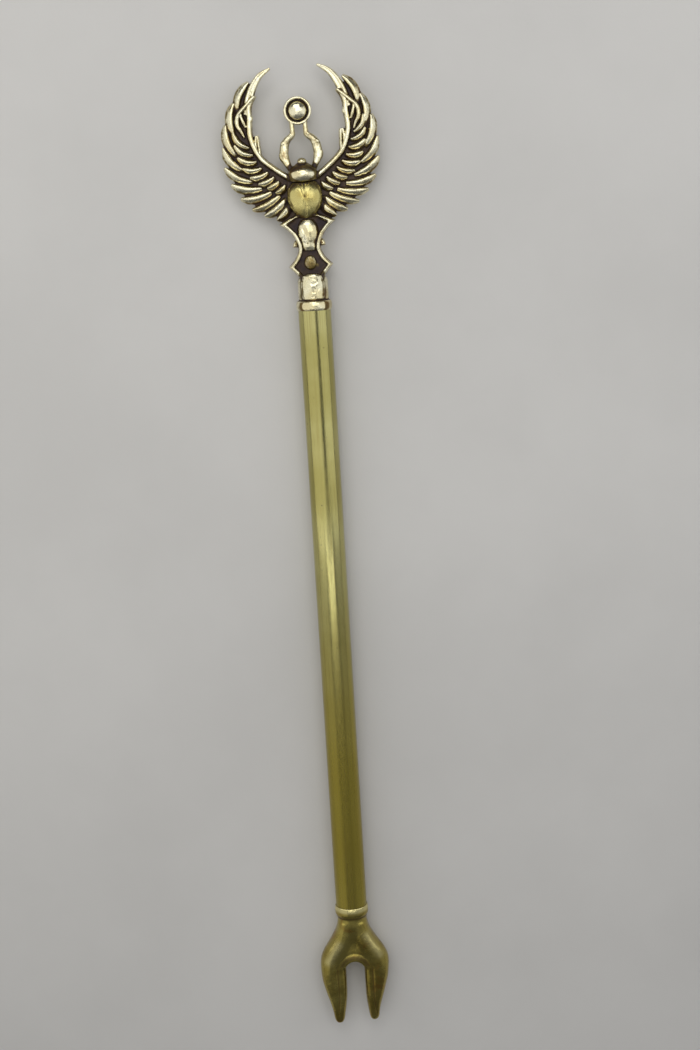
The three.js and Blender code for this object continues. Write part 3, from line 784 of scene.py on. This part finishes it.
def store(mesh, name, values):
    attribute = mesh.attributes.new(name, "FLOAT", "POINT")
    attribute.data.foreach_set("value", np.asarray(values, np.float32))


def finish_piece(obj, node, material, base_y):
    """Sets the piece in the scene's frame, on the floor, and ties it to the frame."""
    mesh = obj.data
    points = points_of(mesh) + (0, base_y, AXIS_HEIGHT)
    points[:, 2] = np.maximum(points[:, 2], 0)
    low, high = (np.array(corner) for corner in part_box(node))
    put_points(mesh, np.clip(points * MM, low, high))
    mesh.shade_smooth()
    mesh.materials.clear()
    mesh.materials.append(material)
    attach(obj, "root")
    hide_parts(node)
    return obj


def build_head(material):
    points, faces = head_skin()
    obj = mesh_object("Head", points, faces)
    with_modifier(obj, "REMESH", mode="VOXEL", voxel_size=HEAD_VOXEL)
    mesh = obj.data
    points = eased(points_of(mesh), edges_of(mesh), [0.5, -0.52] * 3)
    put_points(mesh, points)
    normals = normals_of(mesh)
    grain = 0.06 * soft_noise(points, 0.55, 1) + 0.035 * soft_noise(points, 1.3, 2)
    calm = 1 - 0.85 * step_between(-0.1, 0.1, on_wing_cases(upright(points)))
    share = calm * step_between(16.5, 19, points[:, 1])
    put_points(mesh, points + (grain * share)[:, None] * normals)
    cut_away(obj, lathed([(0, -3), (SEAT_RADIUS, -3), (SEAT_RADIUS, SEAT_DEPTH + SEAT_GAP), (0, SEAT_DEPTH + SEAT_GAP)]))
    mesh = obj.data
    triangles = sum(len(face.vertices) - 2 for face in mesh.polygons)
    limit = 190000
    if triangles > limit:
        with_modifier(obj, "DECIMATE", ratio=limit / triangles)
        mesh = obj.data
    print("head triangles", triangles, "->", sum(len(face.vertices) - 2 for face in mesh.polygons))
    points, normals, edges = points_of(mesh), normals_of(mesh), edges_of(mesh)
    depth = depth_below(points, normals, 0.4, 4)
    bend = hollow(points, normals, edges, 12)
    steep = step_between(0.15, 0.6, 1 - np.abs(normals[:, 2]))
    floors = step_between(0.7, 1.4, depth) * (1 - steep)
    drawn = upright(points)
    front = drawn[:, 2] > 1.5
    cases = on_wing_cases(drawn)
    on_cases = front * step_between(0, 0.06, cases)
    # Steep flanks that drop from a nearby crest get painted shade, as if turned away from the light; less of it on the
    # wing cases.
    painted_shade_flanks = 0.44 * step_between(0.35, 1.2, depth) * steep * (1 - 0.8 * on_cases)
    # The mask sums patina on the floors of the hollows and in hollow bends with the painted shade on the flanks.
    painted_shade_and_patina = np.clip(np.maximum(floors, step_between(0.05, 0.17, bend)) + painted_shade_flanks, 0, 1)
    print("bend", np.percentile(bend, [1, 10, 50, 90, 99]).round(3), "painted_shade_and_patina", painted_shade_and_patina.mean().round(3))
    polish_and_painted_highlight = step_between(0.0, 0.12, -bend)
    on_oval = (np.hypot((drawn[:, 0] + 0.2) / 3.4, (drawn[:, 1] - 23.6) / 3.9) < 1) & (drawn[:, 2] > 2)
    painted_shade_and_patina = np.where(on_oval, np.maximum(painted_shade_and_patina, 0.42), painted_shade_and_patina)
    polish_and_painted_highlight = np.where(on_oval, 0.2 * polish_and_painted_highlight, polish_and_painted_highlight)
    on_spurs = (np.abs(drawn[:, 0]) > 5.7) & (np.abs(drawn[:, 1] - 33.4) < 2.8)
    painted_shade_and_patina = np.where(on_spurs, 0.5 * painted_shade_and_patina, painted_shade_and_patina)
    legs = front & (np.abs(drawn[:, 0]) < 10.5) & (drawn[:, 1] > 71.8) & (drawn[:, 1] < 88)
    painted_shade_and_patina = np.where(legs, np.maximum(painted_shade_and_patina, 0.27), painted_shade_and_patina)
    polish_and_painted_highlight = np.where(legs, 0.4 * polish_and_painted_highlight, polish_and_painted_highlight)
    # Painted shade on the wing cases: darker towards the rim, most at the lower end, and in two streaks low down;
    # painted shade on the upper part of the shield. The polish is taken off the rim and the shield.
    rim = on_cases * step_between(0.2, 0.02, cases + 0.004 * (drawn[:, 1] - 54))
    painted_shade_streaks = on_cases * step_between(54, 49.5, drawn[:, 1]) * np.exp(-(((np.abs(drawn[:, 0] - 0.1) - 2.3) / 1.1) ** 2))
    shield = front * (np.abs(drawn[:, 0]) < 6.6) * step_between(66.2, 67.4, drawn[:, 1]) * step_between(70.4, 69.6, drawn[:, 1])
    painted_shade_and_patina = np.maximum(painted_shade_and_patina, np.maximum.reduce([0.28 * rim, 0.34 * painted_shade_streaks, 0.22 * shield]))
    polish_and_painted_highlight = polish_and_painted_highlight * (1 - np.maximum(rim, 0.8 * shield))
    store(mesh, "painted_shade_and_patina", eased(painted_shade_and_patina[:, None].repeat(3, 1), edges, [0.5] * 2)[:, 0])
    store(mesh, "polish_and_painted_highlight", polish_and_painted_highlight)
    store(mesh, "satin", on_cases)
    return finish_piece(obj, "winged_scarab_head", material, HEAD_BASE)


def build_foot(material):
    points, faces = forked_skin()
    obj = mesh_object("Foot", points, faces)
    with_modifier(obj, "REMESH", mode="VOXEL", voxel_size=FOOT_VOXEL)
    mesh = obj.data
    points = points_of(mesh)
    soft = eased(points, edges_of(mesh), [0.6] * (24))
    share = step_between(FOOT_HEIGHT - FOOT_COLLAR - 1, FOOT_HEIGHT - FOOT_COLLAR - 7, points[:, 1])[:, None]
    share = share * step_between(1, 6, points[:, 1])[:, None]
    put_points(mesh, points + share * (soft - points))
    cut_away(obj, slot_cutter())
    with_modifier(obj, "REMESH", mode="VOXEL", voxel_size=FOOT_VOXEL)
    mesh = obj.data
    points = eased(points_of(mesh), edges_of(mesh), [0.5, -0.52] * 4 + [0.5] * 5)
    put_points(mesh, points)
    normals = normals_of(mesh)
    swell, crease, _ = band_relief(points)
    share = step_between(0.1, 0.5, normals[:, 2])
    put_points(mesh, points + ((swell - 0.45 * crease) * share)[:, None] * normals)
    points, normals = points_of(mesh), normals_of(mesh)
    grain = 0.09 * soft_noise(points, 0.16, 3) + 0.03 * soft_noise(points, 0.6, 4)
    fade = step_between(0, 3, FOOT_HEIGHT - FOOT_COLLAR - points[:, 1])
    put_points(mesh, points + (grain * fade)[:, None] * normals)
    seat = [(0, FOOT_HEIGHT - SEAT_DEPTH - SEAT_GAP), (SEAT_RADIUS, FOOT_HEIGHT - SEAT_DEPTH - SEAT_GAP),
            (SEAT_RADIUS, FOOT_HEIGHT + 3), (0, FOOT_HEIGHT + 3)]
    cut_away(obj, lathed(seat))
    mesh = obj.data
    print("foot triangles", sum(len(face.vertices) - 2 for face in mesh.polygons))
    points, normals, edges = points_of(mesh), normals_of(mesh), edges_of(mesh)
    bend = hollow(points, normals, edges, 14)
    # Painted highlight on the upper part of the collar bead, which is also kept free of patina and painted shade.
    bead = step_between(FOOT_HEIGHT - 3.6, FOOT_HEIGHT - 1.8, points[:, 1])
    # Painted shade in the crease beside the band, on the sloping lip of the arch and in a band just under the collar,
    # added to the patina in the hollows.
    _, crease, lip = band_relief(points)
    crease = np.maximum(0.8 * crease, 0.85 * lip) * step_between(0.1, 0.5, normals[:, 2])
    painted_shade_under_collar = np.exp(-(((points[:, 1] - (FOOT_HEIGHT - FOOT_COLLAR)) / 1.1) ** 2))
    painted_shade_and_patina = np.maximum(step_between(0.02, 0.3, bend), np.maximum(crease, 0.9 * painted_shade_under_collar))
    store(mesh, "painted_shade_and_patina", painted_shade_and_patina * (1 - bead))
    # Painted highlight in two diagonal strips on the shoulders, on faces that look up.
    x, y = points[:, 0], points[:, 1]
    painted_shoulder_highlight = groove_line(x, y, (-7.5, 46.5), (-13.5, 37), 2.2, 0.75) + groove_line(x, y, (7, 51), (13.5, 40), 2, 0.65)
    store(mesh, "polish_and_painted_highlight", np.maximum(bead, painted_shoulder_highlight * step_between(0.1, 0.5, normals[:, 2])))
    return finish_piece(obj, "forked_foot", material, FOOT_BASE)


def build_tube(material):
    start, end = FOOT_TOP - SEAT_DEPTH, HEAD_BASE + SEAT_DEPTH
    bore = TUBE_RADIUS - TUBE_WALL
    outer = TUBE_RADIUS * ROUND_SHRINK
    sides = 160
    turn = 2 * np.pi * np.arange(sides) / sides
    stations = [start + 0.2, *np.linspace(start + 1, end - 1, 60), end - 0.2]
    profile = [(bore, start), (outer - 0.2, start)] + [(outer, y) for y in stations] + [(outer - 0.2, end), (bore, end)]
    rings = [np.column_stack([r * np.sin(turn), np.full(sides, y), r * np.cos(turn)]) for r, y in profile]
    points = np.vstack(rings)
    faces = []
    for ring in range(len(rings)):
        following = (ring + 1) % len(rings)
        for side in range(sides):
            beside = (side + 1) % sides
            faces.append((ring * sides + side, ring * sides + beside, following * sides + beside, following * sides + side))
    obj = mesh_object("Tube", points, faces)
    return finish_piece(obj, "shaft_tube", material, 0)


# Materials


class Nodes:
    """A small helper for building a material's nodes."""

    def __init__(self, name):
        self.material = bpy.data.materials.new(name)
        self.material.use_nodes = True
        self.tree = self.material.node_tree
        self.shader = self.tree.nodes["Principled BSDF"]
        self.place = self.add("ShaderNodeTexCoord").outputs["Object"]

    def add(self, kind, **settings):
        node = self.tree.nodes.new(kind)
        for key, value in settings.items():
            setattr(node, key, value)
        return node

    def put(self, source, target):
        if isinstance(source, bpy.types.NodeSocket):
            self.tree.links.new(source, target)
        else:
            target.default_value = source

    def stretched(self, scale, turn=(0, 0, 0)):
        node = self.add("ShaderNodeMapping")
        self.put(self.place, node.inputs["Vector"])
        node.inputs["Scale"].default_value = scale
        node.inputs["Rotation"].default_value = turn
        return node.outputs["Vector"]

    def noise(self, scale, detail=4, rough=0.55, place=None, distort=0.0):
        node = self.add("ShaderNodeTexNoise")
        self.put(place or self.place, node.inputs["Vector"])
        node.inputs["Scale"].default_value = scale
        node.inputs["Detail"].default_value = detail
        node.inputs["Roughness"].default_value = rough
        node.inputs["Distortion"].default_value = distort
        return node.outputs["Fac"]

    def attribute(self, name):
        return self.add("ShaderNodeAttribute", attribute_name=name).outputs["Fac"]

    def math(self, operation, first, second=0.0, clamp=False):
        node = self.add("ShaderNodeMath", operation=operation, use_clamp=clamp)
        self.put(first, node.inputs[0])
        self.put(second, node.inputs[1])
        return node.outputs[0]

    def ranged(self, value, low, high, start=0.0, end=1.0):
        node = self.add("ShaderNodeMapRange", interpolation_type="SMOOTHSTEP")
        self.put(value, node.inputs["Value"])
        for name, number in (("From Min", low), ("From Max", high), ("To Min", start), ("To Max", end)):
            node.inputs[name].default_value = number
        return node.outputs["Result"]

    def mixed(self, share, first, second, blend="MIX"):
        node = self.add("ShaderNodeMix", data_type="RGBA", blend_type=blend)
        self.put(share, node.inputs["Factor"])
        self.put(first, node.inputs["A"])
        self.put(second, node.inputs["B"])
        return node.outputs["Result"]

    def bumped(self, height, distance, strength=1.0, under=None):
        node = self.add("ShaderNodeBump")
        self.put(height, node.inputs["Height"])
        node.inputs["Distance"].default_value = distance
        node.inputs["Strength"].default_value = strength
        if under is not None:
            self.put(under, node.inputs["Normal"])
        return node.outputs["Normal"]

    def finish(self, color, metallic, roughness, normal):
        for name, value in (("Base Color", color), ("Metallic", metallic), ("Roughness", roughness), ("Normal", normal)):
            self.put(value, self.shader.inputs[name])
        return self.material


def colour(red, green, blue):
    """A linear colour from a screen colour."""
    return tuple((c / 255 / 12.92 if c / 255 <= 0.04045 else ((c / 255 + 0.055) / 1.055) ** 2.4) for c in (red, green, blue)) + (1.0,)


def head_brass():
    """Cast brass, polished on what stands proud and dark brown with patina in the hollows, with painted shade on steep
    flanks, on the wing cases' rim and lower end and on the upper shield.
    """
    n = Nodes("head_brass_cast")
    mottle = n.noise(260, 5, 0.6)
    fine = n.noise(1500, 4, 0.6)
    satin = n.attribute("satin")
    # The mask adds patina and painted shade; the mottle breaks it up and the polish on raised parts takes some away.
    patina_and_painted_shade_level = n.math("ADD", n.attribute("painted_shade_and_patina"), n.math("MULTIPLY", n.math("SUBTRACT", mottle, 0.5), 0.7))
    patina_and_painted_shade_level = n.math("SUBTRACT", patina_and_painted_shade_level, n.math("MULTIPLY", n.attribute("polish_and_painted_highlight"), 0.3))
    warm = n.ranged(n.noise(90, 3, 0.5), 0.42, 0.66)
    metal = n.mixed(warm, colour(238, 232, 200), colour(224, 212, 168))
    metal = n.mixed(n.ranged(fine, 0.55, 0.8), metal, colour(192, 178, 124))
    metal = n.mixed(satin, metal, n.mixed(warm, colour(202, 190, 124), colour(176, 156, 84)))
    # Middle stage of patina and painted shade.
    dull_and_shaded_brass = n.mixed(warm, colour(132, 118, 72), colour(120, 94, 56))
    # Darkest stage: patina in the hollows, also reached by the deepest painted shade.
    patina = n.mixed(n.ranged(mottle, 0.35, 0.65), colour(42, 30, 32), colour(66, 50, 36))
    surface = n.mixed(n.ranged(patina_and_painted_shade_level, 0.12, 0.42), metal, dull_and_shaded_brass)
    surface = n.mixed(n.ranged(patina_and_painted_shade_level, 0.42, 0.75), surface, patina)
    rough = n.math("ADD", n.ranged(n.noise(700, 4, 0.6), 0.3, 0.7, 0.16, 0.3), n.math("MULTIPLY", satin, 0.04))
    roughness = n.math("ADD", rough, n.math("MULTIPLY", n.ranged(patina_and_painted_shade_level, 0.2, 0.8), 0.3))
    metallic = n.ranged(patina_and_painted_shade_level, 0.35, 0.85, 1.0, 0.4)
    bump = n.bumped(n.noise(900, 5, 0.6), 0.00007)
    bump = n.bumped(fine, 0.00002, under=bump)
    return n.finish(surface, metallic, roughness, bump)


def tube_brass():
    """Drawn brass tube, polished, with fine lengthwise marks, a few specks and painted shade that makes it darker and
    more olive towards the foot end.
    """
    n = Nodes("tube_brass_drawn")
    streak = n.noise(60, 6, 0.62, n.stretched((22, 0.5, 22)))
    hair = n.noise(220, 4, 0.6, n.stretched((30, 0.8, 30)))
    cloud = n.noise(22, 4, 0.55)
    specks = n.ranged(n.noise(620, 2, 0.4), 0.73, 0.79)
    metal = n.mixed(n.ranged(cloud, 0.35, 0.7), colour(190, 184, 124), colour(170, 162, 98))
    along = n.add("ShaderNodeSeparateXYZ")
    n.put(n.place, along.inputs["Vector"])
    # Painted shade: the colour turns darker and more olive towards the foot end of the tube.
    metal = n.mixed(n.ranged(along.outputs["Y"], 0.2, 0.07), metal, n.mixed(cloud, colour(178, 164, 78), colour(148, 132, 52)))
    metal = n.mixed(n.ranged(streak, 0.5, 0.75, 0, 0.5), metal, colour(150, 134, 72))
    metal = n.mixed(n.math("MULTIPLY", specks, 0.45), metal, colour(84, 68, 36))
    roughness = n.math("ADD", n.ranged(hair, 0.3, 0.7, 0.11, 0.2), n.ranged(cloud, 0.4, 0.8, 0.0, 0.06))
    roughness = n.math("ADD", roughness, n.ranged(along.outputs["Y"], 0.19, 0.04, 0.0, 0.12))
    bump = n.bumped(streak, 0.00003)
    bump = n.bumped(hair, 0.000012, under=bump)
    return n.finish(metal, n.ranged(specks, 0, 1, 1.0, 0.6), roughness, bump)


def foot_brass():
    """Cast brass with a darker olive tone and a little orange brown, dark brown in the hollows with patina and where
    painted shade lies, and a painted highlight on the collar bead and the shoulders.
    """
    n = Nodes("foot_brass_cast")
    cloud = n.noise(70, 5, 0.6)
    fine = n.noise(900, 5, 0.6)
    warm = n.ranged(n.noise(130, 4, 0.6, distort=0.4), 0.56, 0.72)
    metal = n.mixed(n.ranged(cloud, 0.35, 0.68), colour(182, 167, 90), colour(152, 134, 62))
    metal = n.mixed(n.math("MULTIPLY", warm, 0.55), metal, colour(160, 112, 50))
    patina_and_painted_shade_level = n.ranged(n.math("ADD", n.attribute("painted_shade_and_patina"), n.math("MULTIPLY", n.math("SUBTRACT", fine, 0.5), 0.5)), 0.3, 0.9)
    # Patina in the hollows and painted shade darken the brass to dark brown.
    metal = n.mixed(n.math("MULTIPLY", patina_and_painted_shade_level, 0.75), metal, colour(70, 50, 22))
    # Painted highlight: the collar bead's upper part and the shoulder strips turn pale.
    metal = n.mixed(n.attribute("polish_and_painted_highlight"), metal, colour(226, 214, 150))
    roughness = n.math("ADD", n.ranged(n.noise(300, 4, 0.6), 0.3, 0.7, 0.2, 0.28), n.math("MULTIPLY", patina_and_painted_shade_level, 0.2))
    bump = n.bumped(n.noise(380, 5, 0.6), 0.00007)
    bump = n.bumped(fine, 0.00002, under=bump)
    return n.finish(metal, n.ranged(patina_and_painted_shade_level, 0, 1, 1.0, 0.75), roughness, bump)


def floor_paint():
    """A plain pale matt board."""
    n = Nodes("pale_board")
    tone = n.ranged(n.noise(6, 5, 0.55), 0.3, 0.7)
    surface = n.mixed(tone, colour(212, 210, 206), colour(204, 202, 198))
    return n.finish(surface, 0.0, 0.75, n.bumped(n.noise(500, 4, 0.6), 0.00004))


# Floor, lights and camera


def build_floor():
    half = 1.6
    points = [(-half, -half, 0), (half, -half, 0), (half, half, 0), (-half, half, 0)]
    floor = mesh_object("floor", points, [(0, 1, 2, 3)])
    floor.location = (0, 0.18, 0)
    floor.data.materials.append(floor_paint())


def area_light(name, place, target, size, power, tone=(1, 1, 1)):
    data = bpy.data.lights.new(name, "AREA")
    data.shape = "RECTANGLE"
    data.size, data.size_y = size
    data.energy = power
    data.color = tone
    light = bpy.data.objects.new(name, data)
    bpy.context.scene.collection.objects.link(light)
    light.location = place
    light.rotation_euler = (Vector(target) - Vector(place)).to_track_quat("-Z", "Y").to_euler()


def panel(name, upper, lower, middle_y, length, glow, tone=(1, 1, 1)):
    """A soft light between two (x, z) edges, as long as stated along Y. Its glow is the same all over."""
    (ux, uz), (lx, lz) = upper, lower
    width = math.hypot(ux - lx, uz - lz)
    centre = Vector(((ux + lx) / 2, middle_y, (uz + lz) / 2))
    across = Vector((ux - lx, 0, uz - lz)).normalized()
    along = Vector((0, 1, 0))
    facing = across.cross(along)
    if facing.dot(centre - Vector((0, middle_y, 0))) < 0:
        along = -along
        facing = -facing
    data = bpy.data.lights.new(name, "AREA")
    data.shape = "RECTANGLE"
    data.size, data.size_y = width, length
    data.energy = glow * math.pi * width * length
    data.color = tone
    light = bpy.data.objects.new(name, data)
    bpy.context.scene.collection.objects.link(light)
    matrix = Matrix((across, along, facing)).transposed().to_4x4()
    matrix.translation = centre
    light.matrix_world = matrix


def build_lights():
    panel("left_softbox", (0.05, 1.0), (-0.85, 0.08), 0.40, 0.72, 0.78, (1.0, 0.99, 0.96))
    panel("right_softbox", (0.375, 0.93), (0.86, 0.08), 0.40, 0.72, 0.8, (0.98, 0.99, 1.0))
    panel("front_softbox", (-0.16, 0.97), (0.5, 0.9), 0.64, 0.6, 1.5)
    panel("streak_softbox", (-0.4, 0.99), (0.5, 0.99), -0.063, 0.075, 1.9)
    panel("low_softbox", (-0.5, 1.02), (0.85, 1.02), -0.33, 0.74, 0.1)
    panel("left_low_softbox", (-0.55, 1.0), (-1.0, 0.02), -0.33, 0.74, 0.36, (1.0, 0.98, 0.92))
    panel("right_low_softbox", (0.85, 1.0), (1.05, 0.02), -0.33, 0.74, 0.2)
    area_light("key_softbox", (-0.12, 1.12, 0.85), (0, 0.37, 0), (0.8, 0.42), 2.6, (1, 1, 1))
    world = bpy.data.worlds.new("studio")
    bpy.context.scene.world = world
    world.use_nodes = True
    background = world.node_tree.nodes["Background"]
    background.inputs["Color"].default_value = (0.5, 0.51, 0.54, 1)
    background.inputs["Strength"].default_value = 0.25
    bpy.context.scene.view_settings.view_transform = "Standard"


def build_camera():
    """The camera stands over the head and looks a little down the shaft."""
    data = bpy.data.cameras.new("camera")
    data.sensor_width = 36
    data.sensor_fit = "AUTO"
    data.lens = 58.2857
    data.clip_start, data.clip_end = 0.01, 20
    camera = bpy.data.objects.new("camera", data)
    bpy.context.scene.collection.objects.link(camera)
    right = Vector((0.99831, -0.05809, 0)).normalized()
    up = Vector((0.05695, 0.97863, -0.19757))
    up = (up - right * up.dot(right)).normalized()
    place = Matrix((right, up, right.cross(up))).transposed().to_4x4()
    place.translation = Vector((0.0207, 0.3702, 0.83775))
    camera.matrix_world = place
    bpy.context.scene.camera = camera


build_head(head_brass())
build_tube(tube_brass())
build_foot(foot_brass())
build_floor()
build_lights()
build_camera()
